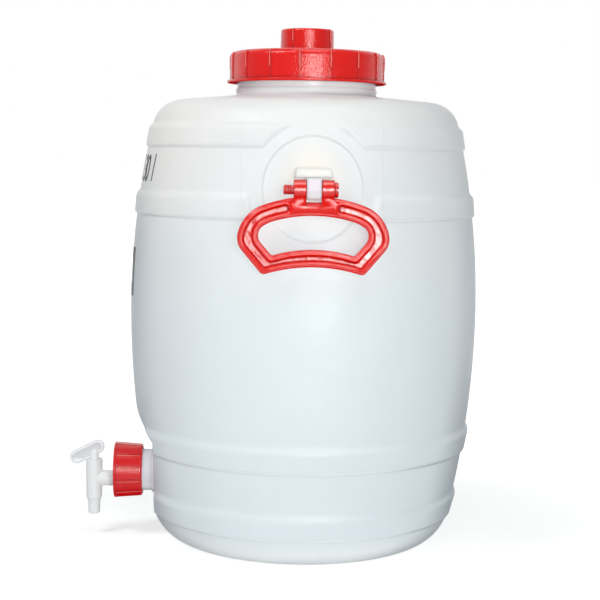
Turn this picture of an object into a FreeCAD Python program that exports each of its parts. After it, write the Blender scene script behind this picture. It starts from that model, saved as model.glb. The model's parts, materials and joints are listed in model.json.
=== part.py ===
import FreeCAD
import Part
import math
import os

from FreeCAD import Placement, Rotation, Vector

# A 30 litre barrel-shaped plastic drum with a ribbed screw lid, a small vent cap on the lid,
# two swinging carry handles and a plug tap. Lengths are in millimetres and angles in degrees.
# The drum's axis is Z and its underside lies at Z = 0. The tap is at -X, the handles at -Y and +Y.

# Blow-moulded drum
BELLY_RADIUS = 166.0
BELLY_HEIGHT = 225.0
UPPER_CURVE = 755.0
LOWER_CURVE = 850.0
WALL = 3.0
BASE_FILLET = 39.0
SHOULDER_HEIGHT = 427.0
SHOULDER_SLOPE = 5.4
SHOULDER_FILLET = 27.0
NECK_RADIUS = 66.2
NECK_WALL = 3.4
NECK_ROOT_FILLET = 3.0
NECK_BEAD_RISE = 0.9
NECK_BEAD_HEIGHT = 432.0
NECK_BEAD_WIDTH = 4.0
RIM_HEIGHT = 463.5
RIM_FILLET = 1.0

# Barrel hoops: the lower and upper height of each, all of one form
HOOPS = ((28.5, 53.0), (91.5, 115.6), (314.3, 337.0), (377.3, 399.5))
HOOP_ROOT = 12.0
HOOP_LOWER_RISE = 2.4
HOOP_LOWER_SLOPE = 62.0
HOOP_LOWER_FILLET = 3.4
HOOP_UPPER_RISE = 3.2
HOOP_UPPER_SLOPE = 40.0
HOOP_UPPER_FILLET = 6.0
HOOP_FOOT_SLOPE = 8.0
HOOP_FOOT_REACH = 1.5
HOOP_FOOT_FILLET = 5.0
HOOP_END_FILLET = 3.0

# Round dish behind each handle lug
DISH_HEIGHT = 345.5
DISH_RADIUS = 45.0
DISH_DEPTH = 1.1
DISH_DRAFT = 25.0
HOOP_FREE_RADIUS = 58.0
HOOP_END_DRAFT = 35.0

# Flat panel that carries the tap boss
PANEL_DISTANCE = 141.0
PANEL_TOP = 104.0
PANEL_SLOPE = 38.0
PANEL_CURVE = 26.0
BOSS_HEIGHT = 64.0
BOSS_RADIUS = 20.0
BOSS_BORE_RADIUS = 16.0
BOSS_LENGTH = 31.6
BOSS_COLLAR_RADIUS = 21.6
BOSS_COLLAR_LENGTH = 4.0

# Handle lugs, moulded with the drum
PIN_HEIGHT = 342.0
PIN_DISTANCE = 171.8
LUG_KNUCKLE_RADIUS = 8.4
LUG_STEM_WIDTH = 12.4
LUG_BAR_WIDTH = 32.7
LUG_BAR_BOTTOM = 352.2
LUG_BAR_TOP = 360.2
LUG_BAR_REACH = 3.4
LUG_BAR_TAPER = 1.4
LUG_END_FILLET = 2.5
LUG_FILLET = 1.5

# Screw lid
LID_RADIUS = 73.0
LID_SKIRT_WALL = 2.4
LID_TOP_WALL = 3.0
LID_BOTTOM = 439.0
LID_CORNER_FILLET = 6.0
LID_FLANGE_RADIUS = 76.0
LID_FLANGE_HEIGHT = 2.4
LID_RIBS = 16
LID_RIB_RISE = 1.0
LID_RIB_WIDTH = 1.6
LID_RIB_TURN = 14.9
LID_GUIDE_RADIUS = 61.6
LID_GUIDE_WALL = 2.0
LID_GUIDE_DEPTH = 5.0
LID_SEAL_THICKNESS = 2.0
LID_SEAL_GAP = 0.8

# Vent spout on the lid, and its cap
SPOUT_RADIUS = 20.0
SPOUT_BORE_RADIUS = 16.0
SPOUT_HEIGHT = 17.6
VENT_CAP_RADIUS = 25.5
VENT_CAP_WALL = 2.4
VENT_CAP_TOP_WALL = 2.5
VENT_CAP_FILLET = 2.0
VENT_CAP_DRAFT = 1.0
VENT_CAP_RIBS = 4
VENT_CAP_RIB_RISE = 0.7
VENT_CAP_RIB_WIDTH = 1.6
VENT_CAP_RIB_TURN = 55.6
VENT_SEAL_THICKNESS = 1.5
VENT_SEAL_GAP = 0.8
LID_TO_CAP_GAP = 0.4

# Tap nut
NUT_LENGTH = 27.4
NUT_RADIUS = 27.0
NUT_INNER_END_RADIUS = 24.6
NUT_RIM_WIDTH = 2.8
NUT_RIM_STEP = 0.8
NUT_BORE_RADIUS = 20.8
NUT_END_WALL = 3.4
NUT_HOLE_RADIUS = 16.9
NUT_CHAMFER = 1.5
NUT_RIBS = 12
NUT_RIB_RISE = 0.6
NUT_RIB_WIDTH = 1.2
NUT_RIB_TURN = 17.0

# Tap
TAP_SEAL_THICKNESS = 2.2
TAP_SEAL_INNER_RADIUS = 15.0
TAP_FLANGE_RADIUS = 19.8
TAP_FLANGE_THICKNESS = 3.2
TAP_DROP = 8.6
TAP_REACH = 23.4
TUBE_RADIUS = 7.5
TUBE_BORE_RADIUS = 4.6
BARREL_TOP = 72.0
BARREL_BOTTOM = 36.0
BARREL_TOP_RADIUS = 8.1
BARREL_BOTTOM_RADIUS = 7.5
BARREL_FILLET = 1.2
NOZZLE_BOTTOM = 21.0
NOZZLE_ROOT_RADIUS = 6.6
NOZZLE_RADIUS = 5.7
NOZZLE_LAND = 7.5
NOZZLE_FILLET = 1.0
OUTLET_RADIUS = 3.6

# Tap plug with its slanted lever blade
PLUG_TOP_RADIUS = 5.7
PLUG_BOTTOM_RADIUS = 5.1
PLUG_BOTTOM = 44.0
PLUG_CLEARANCE = 0.1
PLUG_COLLAR_RADIUS = 7.8
PLUG_COLLAR_HEIGHT = 2.4
PLUG_STEM_RADIUS = 4.2
BLADE_LENGTH = 36.0
BLADE_WIDTH = 13.5
BLADE_TILT = 27.0
BLADE_OFFSET = 6.9
BLADE_HEIGHT = 81.2
BLADE_RIM = 2.6
BLADE_RIM_THICKNESS = 4.8
BLADE_WEB_THICKNESS = 2.4

# Carry handles: sizes are taken from the hinge pin, half widths and depths below it
HANDLE_THICKNESS = 11.0
HANDLE_TOP_DEPTH = 5.5
HANDLE_SHOULDER = (43.6, 13.4)
HANDLE_SIDE = (64.6, 38.2)
HANDLE_HIP = (61.0, 52.0)
HANDLE_CORNER = (43.4, 72.8)
HANDLE_BOTTOM_DEPTH = 65.8
GRIP_TOP_DEPTH = 22.0
GRIP_SHOULDER = (33.3, 26.7)
GRIP_BEND = (42.6, 30.9)
GRIP_SIDE = (47.0, 38.5)
GRIP_HIP = (44.3, 46.0)
GRIP_CORNER = (35.4, 56.3)
GRIP_BOTTOM_DEPTH = 50.9
HANDLE_CORNER_FILLET = 5.0
GRIP_CORNER_FILLET = 3.0
HANDLE_EDGE_FILLET = 2.2
CHANNEL_INSET = 4.3
CHANNEL_DEPTH = 3.5
CHANNEL_WALL_RUN = 1.6
CHANNEL_END = 24.4
EAR_KNUCKLE_RADIUS = 8.5
EAR_OUTER = 17.4
EAR_GAP_CLEARANCE = 0.4
EAR_GAP_DEPTH = 10.6
EAR_GAP_LIP_DEPTH = 3.0
EAR_GAP_LIP_RUN = 4.5
EAR_HOLE_CLEARANCE = 0.1

# Hinge screws
SCREW_RADIUS = 3.9
SCREW_FIT = 0.05
SCREW_HEAD_RADIUS = 6.5
SCREW_HEAD_LENGTH = 3.4
SCREW_TIP_LENGTH = 8.6
SCREW_SLOT_WIDTH = 1.6
SCREW_SLOT_DEPTH = 1.6
SCREW_CHAMFER = 0.8

ORIGIN = Vector(0, 0, 0)
UP = Vector(0, 0, 1)
OUT_OF_TAP = Vector(-1, 0, 0)
ALONG_PIN = Vector(1, 0, 0)


# Plane geometry: a point is (radius, height)
def on_circle(centre, radius, angle):
    return (centre[0] + radius * math.cos(angle), centre[1] + radius * math.sin(angle))


def direction_to(start, end):
    return math.atan2(end[1] - start[1], end[0] - start[0])


def in_section(point):
    return Vector(point[0], 0, point[1])


def section_line(start, end):
    return Part.LineSegment(in_section(start), in_section(end)).toShape()


def section_arc(centre, radius, start, end):
    points = [on_circle(centre, radius, a) for a in (start, (start + end) / 2, end)]
    return Part.Arc(*[in_section(p) for p in points]).toShape()


def section_polygon(points):
    closed = list(points) + [points[0]]
    return Part.Face(Part.makePolygon([in_section(p) for p in closed]))


def rounded_section(corners):
    """A section face from (point, fillet) corners in order, each corner rounded by its fillet."""
    arcs = []
    for index, (point, fillet) in enumerate(corners):
        back = direction_to(point, corners[index - 1][0])
        ahead = direction_to(point, corners[(index + 1) % len(corners)][0])
        half = math.acos(math.cos(ahead - back)) / 2
        reach = fillet / math.tan(half)
        start = on_circle(point, reach, back)
        end = on_circle(point, reach, ahead)
        middle = ((start[0] + end[0]) / 2, (start[1] + end[1]) / 2)
        crown = fillet / math.sin(half) - fillet
        arcs.append((start, on_circle(point, crown, direction_to(point, middle)), end, fillet))
    edges = []
    for index, (start, crown, end, fillet) in enumerate(arcs):
        if fillet:
            edges.append(Part.Arc(*[in_section(p) for p in (start, crown, end)]).toShape())
        edges.append(section_line(end, arcs[(index + 1) % len(arcs)][0]))
    return Part.Face(Part.Wire(edges))


def turned(points):
    """A solid of revolution about Z from a closed polygon of (radius, height) points."""
    return section_polygon(points).revolve(ORIGIN, UP, 360)


def tube(outer, inner, bottom, top):
    return turned([(inner, bottom), (outer, bottom), (outer, top), (inner, top)])


def round_edges(shape, radius, chosen):
    """Fillet the edges that the test picks."""
    return shape.makeFillet(radius, [edge for edge in shape.Edges if chosen(edge)])


def is_ring(edge, radius, height):
    """True for a level circle about Z at this radius and height."""
    box = edge.BoundBox
    level = abs(box.ZMin - height) < 0.01 and abs(box.ZMax - height) < 0.01
    return level and abs(box.XMax - radius) < 0.01


# Drum
LOWER_CENTRE = (BELLY_RADIUS - LOWER_CURVE, BELLY_HEIGHT)
UPPER_CENTRE = (BELLY_RADIUS - UPPER_CURVE, BELLY_HEIGHT)
SHOULDER_NORMAL = math.radians(90 - SHOULDER_SLOPE)


def along_normal(point):
    """How far a point lies along the shoulder's outward normal."""
    return point[0] * math.cos(SHOULDER_NORMAL) + point[1] * math.sin(SHOULDER_NORMAL)


def base_fillet_centre():
    reach = LOWER_CURVE - BASE_FILLET
    drop = LOWER_CENTRE[1] - BASE_FILLET
    return (LOWER_CENTRE[0] + math.sqrt(reach**2 - drop**2), BASE_FILLET)


def shoulder_level():
    return along_normal((NECK_RADIUS, SHOULDER_HEIGHT))


def shoulder_fillet_angle():
    """Direction from the upper curve's centre to the point where the shoulder fillet starts."""
    reach = UPPER_CURVE - SHOULDER_FILLET
    level = shoulder_level() - SHOULDER_FILLET - along_normal(UPPER_CENTRE)
    return SHOULDER_NORMAL - math.acos(level / reach)


def neck_fillet_centre():
    across = NECK_RADIUS + NECK_ROOT_FILLET
    level = shoulder_level() + NECK_ROOT_FILLET
    height = (level - across * math.cos(SHOULDER_NORMAL)) / math.sin(SHOULDER_NORMAL)
    return (across, height)


def wall_radius(height):
    """Outer radius of the plain wall between the base fillet and the shoulder fillet."""
    curve = LOWER_CURVE if height < BELLY_HEIGHT else UPPER_CURVE
    return BELLY_RADIUS - curve + math.sqrt(curve**2 - (height - BELLY_HEIGHT) ** 2)


def barrel(inset, neck_inset, top):
    """The plain barrel and neck as one solid, with every face moved inwards by the inset."""
    base = base_fillet_centre()
    base_end = direction_to(LOWER_CENTRE, base)
    shoulder_start = shoulder_fillet_angle()
    shoulder = on_circle(UPPER_CENTRE, UPPER_CURVE - SHOULDER_FILLET, shoulder_start)
    neck = neck_fillet_centre()
    root = NECK_ROOT_FILLET + inset
    root_start = SHOULDER_NORMAL + math.pi
    neck_radius = NECK_RADIUS - inset
    rim_radius = NECK_RADIUS - neck_inset
    edges = [
        section_line((0, inset), (base[0], inset)),
        section_arc(base, BASE_FILLET - inset, -math.pi / 2, base_end),
        section_arc(LOWER_CENTRE, LOWER_CURVE - inset, base_end, 0),
        section_arc(UPPER_CENTRE, UPPER_CURVE - inset, 0, shoulder_start),
        section_arc(shoulder, SHOULDER_FILLET - inset, shoulder_start, SHOULDER_NORMAL),
        section_line(
            on_circle(shoulder, SHOULDER_FILLET - inset, SHOULDER_NORMAL),
            on_circle(neck, root, root_start),
        ),
        section_arc(neck, root, root_start, math.pi),
        section_line((neck_radius, neck[1]), (rim_radius, top)),
        section_line((rim_radius, top), (0, top)),
        section_line((0, top), (0, inset)),
    ]
    return Part.Face(Part.Wire(edges)).revolve(ORIGIN, UP, 360)


def hoop(low, high, inset):
    """One raised hoop: a rounded lower corner over a crease, and a soft slope with a foot above."""
    lower = math.tan(math.radians(HOOP_LOWER_SLOPE))
    upper = math.tan(math.radians(HOOP_UPPER_SLOPE))
    foot = math.tan(math.radians(HOOP_FOOT_SLOPE))
    foot_rise = HOOP_FOOT_REACH * foot
    sunk = 2 * HOOP_FOOT_REACH
    lower_corner = low + HOOP_LOWER_RISE / lower
    upper_corner = high - (HOOP_UPPER_RISE - foot_rise) / upper
    low_root = wall_radius(low) - HOOP_ROOT
    high_wall = wall_radius(high)
    lean = high_wall - wall_radius(high + 1)
    corners = [
        ((low_root, low - HOOP_ROOT / lower), 0),
        ((wall_radius(lower_corner) + HOOP_LOWER_RISE, lower_corner), HOOP_LOWER_FILLET),
        ((wall_radius(upper_corner) + HOOP_UPPER_RISE, upper_corner), HOOP_UPPER_FILLET),
        ((high_wall + foot_rise, high), HOOP_FOOT_FILLET),
        ((high_wall + foot_rise - sunk * (foot + lean), high + sunk), 0),
        ((high_wall - HOOP_ROOT, high + sunk), 0),
    ]
    section = rounded_section(corners)
    if inset:
        section = section.makeOffset2D(-inset)
    return section.revolve(ORIGIN, UP, 360)


def handle_field(radius, draft, side):
    """A cone along Y, widening outwards, that clears a round field of this radius on the wall."""
    widening = math.tan(math.radians(draft))
    meets_wall = math.sqrt(wall_radius(DISH_HEIGHT) ** 2 - radius**2 / 2)
    half_length = radius / 2
    start = Vector(0, side * (meets_wall - half_length), DISH_HEIGHT)
    small = radius - half_length * widening
    large = radius + half_length * widening
    return Part.makeCone(small, large, 2 * half_length, start, Vector(0, side, 0))


def soften_ends(ring):
    """Round the visible edges where a hoop ends at the handle fields."""
    chosen = []
    for face in ring.Faces:
        if isinstance(face.Surface, Part.Cone) and abs(face.Surface.Axis.y) > 0.9:
            for edge in face.Edges:
                middle = edge.valueAt((edge.FirstParameter + edge.LastParameter) / 2)
                if math.hypot(middle.x, middle.y) > wall_radius(middle.z) - WALL / 2:
                    chosen.append(edge)
    return ring.makeFillet(HOOP_END_FILLET, chosen) if chosen else ring


def panel_cutter(inset):
    """The block outside the tap panel: flat below, then sloping and curving out to the wall."""
    slope = math.radians(PANEL_SLOPE)
    face = PANEL_DISTANCE - inset
    corner_top = PANEL_TOP + inset * math.tan(slope / 2)
    curve = PANEL_CURVE - inset
    tangent_run = curve * (1 - math.cos(slope))
    wall = wall_radius(PANEL_TOP + PANEL_CURVE)
    rise = (wall - inset - tangent_run - face) / math.tan(slope)
    slope_end = (face + rise * math.tan(slope), corner_top + rise)
    centre = (slope_end[0] - curve * math.cos(slope), slope_end[1] + curve * math.sin(slope))
    far = 2 * BELLY_RADIUS
    edges = [
        section_line((face, -far), (face, corner_top)),
        section_line((face, corner_top), slope_end),
        section_arc(centre, curve, -slope, 0),
        section_line((centre[0] + curve, centre[1]), (far, centre[1])),
        section_line((far, centre[1]), (far, -far)),
        section_line((far, -far), (face, -far)),
    ]
    block = Part.Face(Part.Wire(edges)).extrude(Vector(0, far, 0))
    block.translate(Vector(0, -far / 2, 0))
    return block.mirror(ORIGIN, ALONG_PIN)


def moulded_form(inset, neck_inset, top):
    """The filled outer form of the drum, or the space inside its wall when the inset is the wall."""
    form = barrel(inset, neck_inset, top)
    deeper = barrel(inset + DISH_DEPTH, neck_inset + DISH_DEPTH, top)
    rings = [hoop(low, high, inset) for low, high in HOOPS]
    for side in (-1, 1):
        form = form.cut(handle_field(DISH_RADIUS + inset, DISH_DRAFT, side))
        field = handle_field(HOOP_FREE_RADIUS + inset, HOOP_END_DRAFT, side)
        rings = [ring.cut(field) for ring in rings]
    if not inset:
        rings = [soften_ends(ring) for ring in rings]
    form = form.fuse([deeper] + rings)
    return form.cut(panel_cutter(inset))


def lug_bar(root, front):
    """The lug's cross bar, narrower at its top and rounded at its ends."""
    half = LUG_BAR_WIDTH / 2
    corners = [
        (-half, LUG_BAR_BOTTOM),
        (half, LUG_BAR_BOTTOM),
        (half - LUG_BAR_TAPER, LUG_BAR_TOP),
        (LUG_BAR_TAPER - half, LUG_BAR_TOP),
    ]
    bar = section_polygon(corners).extrude(Vector(0, front - root, 0))
    bar.translate(Vector(0, -front, 0))
    bar = round_edges(
        bar,
        LUG_END_FILLET,
        lambda e: e.BoundBox.YLength > LUG_FILLET and e.BoundBox.ZMin > LUG_BAR_TOP - 0.01,
    )
    return round_edges(bar, LUG_FILLET, lambda e: e.BoundBox.YMax < -front + 0.01)


def lug(side):
    """The T-shaped lug that carries a handle, rooted in the wall behind the dish."""
    root = wall_radius(LUG_BAR_TOP) - DISH_DEPTH - WALL / 2
    front = PIN_DISTANCE + LUG_KNUCKLE_RADIUS
    bar = lug_bar(root, PIN_DISTANCE + LUG_BAR_REACH)
    stem = Part.makeBox(
        LUG_STEM_WIDTH,
        PIN_DISTANCE - root,
        LUG_BAR_TOP - PIN_HEIGHT + LUG_KNUCKLE_RADIUS,
        Vector(-LUG_STEM_WIDTH / 2, -PIN_DISTANCE, PIN_HEIGHT - LUG_KNUCKLE_RADIUS),
    )
    nose = Part.makeBox(
        LUG_STEM_WIDTH,
        front - PIN_DISTANCE,
        LUG_BAR_BOTTOM - PIN_HEIGHT,
        Vector(-LUG_STEM_WIDTH / 2, -front, PIN_HEIGHT),
    )
    knuckle = Part.makeCylinder(
        LUG_KNUCKLE_RADIUS,
        LUG_STEM_WIDTH,
        Vector(-LUG_STEM_WIDTH / 2, -PIN_DISTANCE, PIN_HEIGHT),
        ALONG_PIN,
    )
    hole = Part.makeCylinder(
        SCREW_RADIUS + SCREW_FIT,
        LUG_BAR_WIDTH,
        Vector(-LUG_BAR_WIDTH / 2, -PIN_DISTANCE, PIN_HEIGHT),
        ALONG_PIN,
    )
    shape = bar.multiFuse([stem, nose, knuckle]).removeSplitter().cut(hole)
    return shape if side < 0 else shape.mirror(ORIGIN, Vector(0, 1, 0))


def along_tap(shape):
    """Turn a shape made about Z onto the boss axis, with its Z pointing out of the tap."""
    shape.Placement = Placement(Vector(0, 0, BOSS_HEIGHT), Rotation(UP, OUT_OF_TAP))
    return shape


def boss_end():
    return PANEL_DISTANCE + BOSS_LENGTH


def neck_bead():
    """The low half-round ring on the neck under the lid."""
    half = NECK_BEAD_WIDTH / 2
    low = in_section((NECK_RADIUS, NECK_BEAD_HEIGHT - half))
    crown = in_section((NECK_RADIUS + NECK_BEAD_RISE, NECK_BEAD_HEIGHT))
    high = in_section((NECK_RADIUS, NECK_BEAD_HEIGHT + half))
    root = in_section((NECK_RADIUS - NECK_WALL / 2, NECK_BEAD_HEIGHT))
    edges = [
        Part.Arc(low, crown, high).toShape(),
        Part.LineSegment(high, root).toShape(),
        Part.LineSegment(root, low).toShape(),
    ]
    return Part.Face(Part.Wire(edges)).revolve(ORIGIN, UP, 360)


def drum_body():
    outer = moulded_form(0, 0, RIM_HEIGHT)
    outer = round_edges(outer, RIM_FILLET, lambda e: is_ring(e, NECK_RADIUS, RIM_HEIGHT))
    outer = outer.fuse(neck_bead())
    boss_root = PANEL_DISTANCE - WALL
    boss = along_tap(Part.makeCylinder(BOSS_RADIUS, boss_end() - boss_root, Vector(0, 0, boss_root)))
    collar = along_tap(
        Part.makeCylinder(
            BOSS_COLLAR_RADIUS, WALL + BOSS_COLLAR_LENGTH, Vector(0, 0, boss_root)
        )
    )
    solid = outer.fuse([boss, collar, lug(-1), lug(1)])
    inside = moulded_form(WALL, NECK_WALL, RIM_HEIGHT + RIM_FILLET)
    bore_start = PANEL_DISTANCE - 2 * BOSS_RADIUS
    bore = along_tap(
        Part.makeCylinder(BOSS_BORE_RADIUS, boss_end() - bore_start, Vector(0, 0, bore_start))
    )
    return solid.cut(inside.fuse(bore))


# Lid
def lid_top():
    return RIM_HEIGHT + LID_SEAL_THICKNESS + LID_TOP_WALL


def lid_form(rise):
    """The lid's plain outer form, grown by the rise for its ribs."""
    top = lid_top()
    radius = LID_RADIUS + rise
    form = Part.makeCylinder(radius, top + rise - LID_BOTTOM, Vector(0, 0, LID_BOTTOM))
    fillet = LID_CORNER_FILLET + rise
    return round_edges(form, fillet, lambda e: is_ring(e, radius, top + rise))


def radial_slabs(count, width, radius, inner, bottom, top, turn):
    """Thin upright slabs that stand out from Z at equal angles, to cut ribs from a grown form."""
    slabs = []
    for index in range(count):
        slab = Part.makeBox(radius - inner, width, top - bottom, Vector(inner, -width / 2, bottom))
        slab.rotate(ORIGIN, UP, turn + index * 360.0 / count)
        slabs.append(slab)
    return slabs


def lid():
    top = lid_top()
    inner_top = top - LID_TOP_WALL
    inner_radius = LID_RADIUS - LID_SKIRT_WALL
    body = lid_form(0)
    flange = Part.makeCylinder(LID_FLANGE_RADIUS, LID_FLANGE_HEIGHT, Vector(0, 0, LID_BOTTOM))
    flange_top = LID_BOTTOM + LID_FLANGE_HEIGHT
    flange = round_edges(
        flange,
        LID_FLANGE_HEIGHT / 3,
        lambda e: is_ring(e, LID_FLANGE_RADIUS, flange_top)
        or is_ring(e, LID_FLANGE_RADIUS, LID_BOTTOM),
    )
    spout = Part.makeCylinder(SPOUT_RADIUS, SPOUT_HEIGHT + LID_TOP_WALL, Vector(0, 0, inner_top))
    slabs = radial_slabs(
        LID_RIBS,
        LID_RIB_WIDTH,
        LID_FLANGE_RADIUS,
        inner_radius,
        LID_BOTTOM,
        top - LID_TOP_WALL / 2,
        LID_RIB_TURN,
    )
    grown = lid_form(LID_RIB_RISE)
    ribs = [grown.common(slab) for slab in slabs]
    solid = body.multiFuse([flange, spout] + ribs)
    hollow = Part.makeCylinder(inner_radius, inner_top - LID_BOTTOM, Vector(0, 0, LID_BOTTOM))
    guide = tube(
        LID_GUIDE_RADIUS, LID_GUIDE_RADIUS - LID_GUIDE_WALL, inner_top - LID_GUIDE_DEPTH, inner_top
    )
    bore = Part.makeCylinder(
        SPOUT_BORE_RADIUS, SPOUT_HEIGHT + 2 * LID_TOP_WALL, Vector(0, 0, inner_top - LID_TOP_WALL)
    )
    return solid.cut([hollow.cut(guide), bore])


def lid_seal():
    inner = LID_GUIDE_RADIUS + LID_SEAL_GAP
    outer = LID_RADIUS - LID_SKIRT_WALL - LID_SEAL_GAP
    return tube(outer, inner, RIM_HEIGHT, RIM_HEIGHT + LID_SEAL_THICKNESS)


# Vent cap
def spout_top():
    return lid_top() + SPOUT_HEIGHT


def vent_cap_form(rise):
    """The cap's outer form: a slightly drafted cup with a rounded top edge."""
    bottom = lid_top() + LID_TO_CAP_GAP
    top = spout_top() + VENT_SEAL_THICKNESS + VENT_CAP_TOP_WALL
    narrowing = (top - bottom) * math.tan(math.radians(VENT_CAP_DRAFT))
    low = VENT_CAP_RADIUS + rise
    form = Part.makeCone(low, low - narrowing, top - bottom, Vector(0, 0, bottom))
    return round_edges(
        form, VENT_CAP_FILLET, lambda e: is_ring(e, low - narrowing, top)
    )


def vent_cap():
    bottom = lid_top() + LID_TO_CAP_GAP
    inner_top = spout_top() + VENT_SEAL_THICKNESS
    top = inner_top + VENT_CAP_TOP_WALL
    slabs = radial_slabs(
        VENT_CAP_RIBS,
        VENT_CAP_RIB_WIDTH,
        VENT_CAP_RADIUS + 2 * VENT_CAP_RIB_RISE,
        SPOUT_RADIUS + VENT_CAP_WALL,
        bottom,
        top,
        VENT_CAP_RIB_TURN,
    )
    grown = vent_cap_form(VENT_CAP_RIB_RISE)
    solid = vent_cap_form(0).multiFuse([grown.common(slab) for slab in slabs])
    hollow = Part.makeCylinder(
        VENT_CAP_RADIUS - VENT_CAP_WALL, inner_top - bottom, Vector(0, 0, bottom)
    )
    return solid.cut(hollow)


def vent_cap_seal():
    radius = VENT_CAP_RADIUS - VENT_CAP_WALL - VENT_SEAL_GAP
    return Part.makeCylinder(radius, VENT_SEAL_THICKNESS, Vector(0, 0, spout_top()))


# Tap: heights along the boss axis are distances from the drum's axis
def flange_start():
    return boss_end() + TAP_SEAL_THICKNESS


def flange_end():
    return flange_start() + TAP_FLANGE_THICKNESS


def tap_axis_distance():
    return flange_end() + TAP_REACH


def tap_nut():
    outer_end = flange_end() + NUT_END_WALL
    inner_end = outer_end - NUT_LENGTH
    rim_start = outer_end - NUT_RIM_WIDTH
    body_end = NUT_RADIUS - NUT_RIM_STEP
    inner_face = outer_end - NUT_END_WALL

    def form(rise):
        return turned(
            [
                (0, inner_end),
                (NUT_INNER_END_RADIUS + rise - NUT_CHAMFER, inner_end),
                (NUT_INNER_END_RADIUS + rise, inner_end + NUT_CHAMFER),
                (body_end + rise, rim_start),
                (NUT_RADIUS, rim_start + NUT_RIM_STEP),
                (NUT_RADIUS, outer_end - NUT_RIM_STEP),
                (body_end, outer_end),
                (0, outer_end),
            ]
        )

    slabs = radial_slabs(
        NUT_RIBS, NUT_RIB_WIDTH, NUT_RADIUS, NUT_BORE_RADIUS, inner_end, rim_start, NUT_RIB_TURN
    )
    solid = form(0).multiFuse([form(NUT_RIB_RISE).common(slab) for slab in slabs])
    bore = Part.makeCylinder(NUT_BORE_RADIUS, inner_face - inner_end, Vector(0, 0, inner_end))
    hole = Part.makeCylinder(NUT_HOLE_RADIUS, NUT_LENGTH, Vector(0, 0, inner_end))
    return along_tap(solid.cut([bore, hole]))


def tap_seal():
    return along_tap(
        tube(TAP_FLANGE_RADIUS, TAP_SEAL_INNER_RADIUS, boss_end(), flange_start())
    )


def on_tap_axis(shape):
    shape.translate(Vector(-tap_axis_distance(), 0, 0))
    return shape


def tap_body():
    outer = on_tap_axis(
        turned(
            [
                (0, NOZZLE_BOTTOM),
                (NOZZLE_RADIUS - NOZZLE_FILLET, NOZZLE_BOTTOM),
                (NOZZLE_RADIUS, NOZZLE_BOTTOM + NOZZLE_FILLET),
                (NOZZLE_RADIUS, NOZZLE_BOTTOM + NOZZLE_FILLET + NOZZLE_LAND),
                (NOZZLE_ROOT_RADIUS, BARREL_BOTTOM),
                (BARREL_BOTTOM_RADIUS - BARREL_FILLET / 2, BARREL_BOTTOM),
                (BARREL_BOTTOM_RADIUS, BARREL_BOTTOM + BARREL_FILLET / 2),
                (BARREL_TOP_RADIUS, BARREL_TOP),
                (0, BARREL_TOP),
            ]
        )
    )
    flange = along_tap(
        Part.makeCylinder(TAP_FLANGE_RADIUS, TAP_FLANGE_THICKNESS, Vector(0, 0, flange_start()))
    )
    tube_start = Vector(-flange_start(), 0, BOSS_HEIGHT - TAP_DROP)
    tube_length = tap_axis_distance() - flange_start()
    inlet = Part.makeCylinder(TUBE_RADIUS, tube_length, tube_start, OUT_OF_TAP)
    inlet_bore = Part.makeCylinder(TUBE_BORE_RADIUS, tube_length, tube_start, OUT_OF_TAP)
    seat = on_tap_axis(
        turned(
            [
                (0, NOZZLE_BOTTOM - NOZZLE_FILLET),
                (OUTLET_RADIUS, NOZZLE_BOTTOM - NOZZLE_FILLET),
                (OUTLET_RADIUS, PLUG_BOTTOM - PLUG_CLEARANCE),
                (PLUG_BOTTOM_RADIUS + PLUG_CLEARANCE, PLUG_BOTTOM - PLUG_CLEARANCE),
                (PLUG_TOP_RADIUS + PLUG_CLEARANCE, BARREL_TOP),
                (0, BARREL_TOP),
            ]
        )
    )
    solid = outer.multiFuse([flange, inlet])
    return solid.cut([inlet_bore, seat])


def blade_outline(inset):
    """The lever blade's oblong outline, centred on the origin in the XZ plane."""
    radius = BLADE_WIDTH / 2 - inset
    half = (BLADE_LENGTH - BLADE_WIDTH) / 2
    edges = [
        section_line((-half, -radius), (half, -radius)),
        section_arc((half, 0), radius, -math.pi / 2, math.pi / 2),
        section_line((half, radius), (-half, radius)),
        section_arc((-half, 0), radius, math.pi / 2, 3 * math.pi / 2),
    ]
    return Part.Face(Part.Wire(edges))


def plate(face, thickness):
    """A plate of this outline, centred on the XZ plane."""
    solid = face.extrude(Vector(0, thickness, 0))
    solid.translate(Vector(0, -thickness / 2, 0))
    return solid


def lever_blade():
    rim = plate(blade_outline(0), BLADE_RIM_THICKNESS)
    rim = round_edges(rim, BLADE_RIM_THICKNESS / 3, lambda e: e.BoundBox.YLength < 0.01)
    rim = rim.cut(plate(blade_outline(BLADE_RIM), 2 * BLADE_RIM_THICKNESS))
    web = plate(blade_outline(BLADE_RIM / 2), BLADE_WEB_THICKNESS)
    blade = rim.fuse(web)
    blade.rotate(ORIGIN, Vector(0, 1, 0), -BLADE_TILT)
    blade.translate(Vector(-BLADE_OFFSET, 0, BLADE_HEIGHT))
    return blade


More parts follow.
